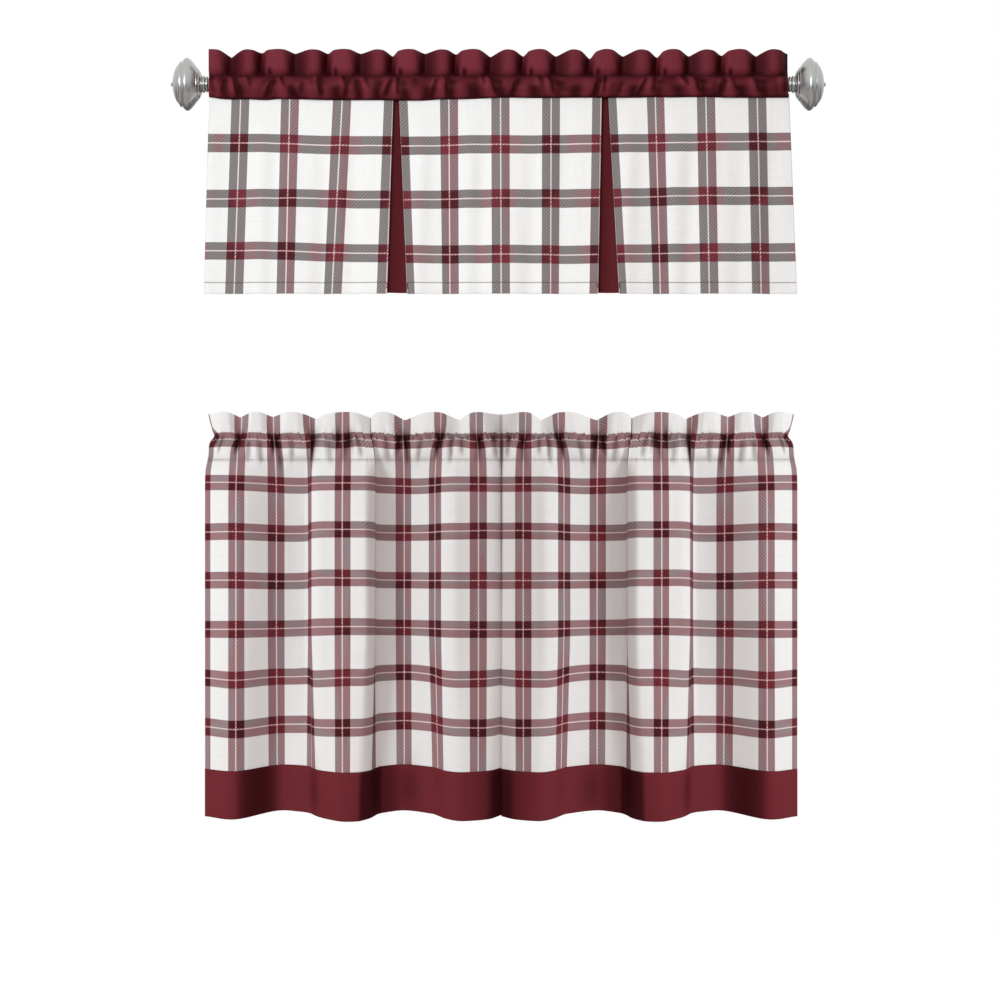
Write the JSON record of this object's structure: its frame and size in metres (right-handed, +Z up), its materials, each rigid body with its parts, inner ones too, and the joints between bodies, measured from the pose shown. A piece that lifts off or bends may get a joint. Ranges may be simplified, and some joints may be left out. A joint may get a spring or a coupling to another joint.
{
  "type": "kitchen curtain set of valance and café tiers with curtain rod",
  "caption": "Kitchen curtain set: a pleated valance with a gathered top on its rod, above a pair of tiers with rod pockets, gathered tops and banded hems.",
  "frame": {"origin": "on the rod's axis, at the middle of the set", "axes": "+X to the right as seen from the room, +Y towards the window, +Z up"},
  "size_m": [0.9845, 0.0788, 1.1567],
  "materials": {
    "rod_metal": "satin nickel, softly brushed round the turning",
    "burgundy_cloth": "plain burgundy woven cloth with a low sheen",
    "check_cloth": "off-white woven cloth with paired burgundy and grey twill stripes both ways"
  },
  "bodies": {
    "root": {"rod": "rod_metal", "finial_left": "rod_metal", "finial_right": "rod_metal", "valance_heading": "burgundy_cloth", "valance_panel_left": "check_cloth", "valance_panel_centre": "check_cloth", "valance_panel_right": "check_cloth", "pleat_inset_left": "burgundy_cloth", "pleat_inset_right": "burgundy_cloth", "tier_left_heading": "check_cloth", "tier_left_drop": "check_cloth", "tier_left_band": "burgundy_cloth", "tier_right_heading": "check_cloth", "tier_right_drop": "check_cloth", "tier_right_band": "burgundy_cloth"}
  },
  "joints": []
}
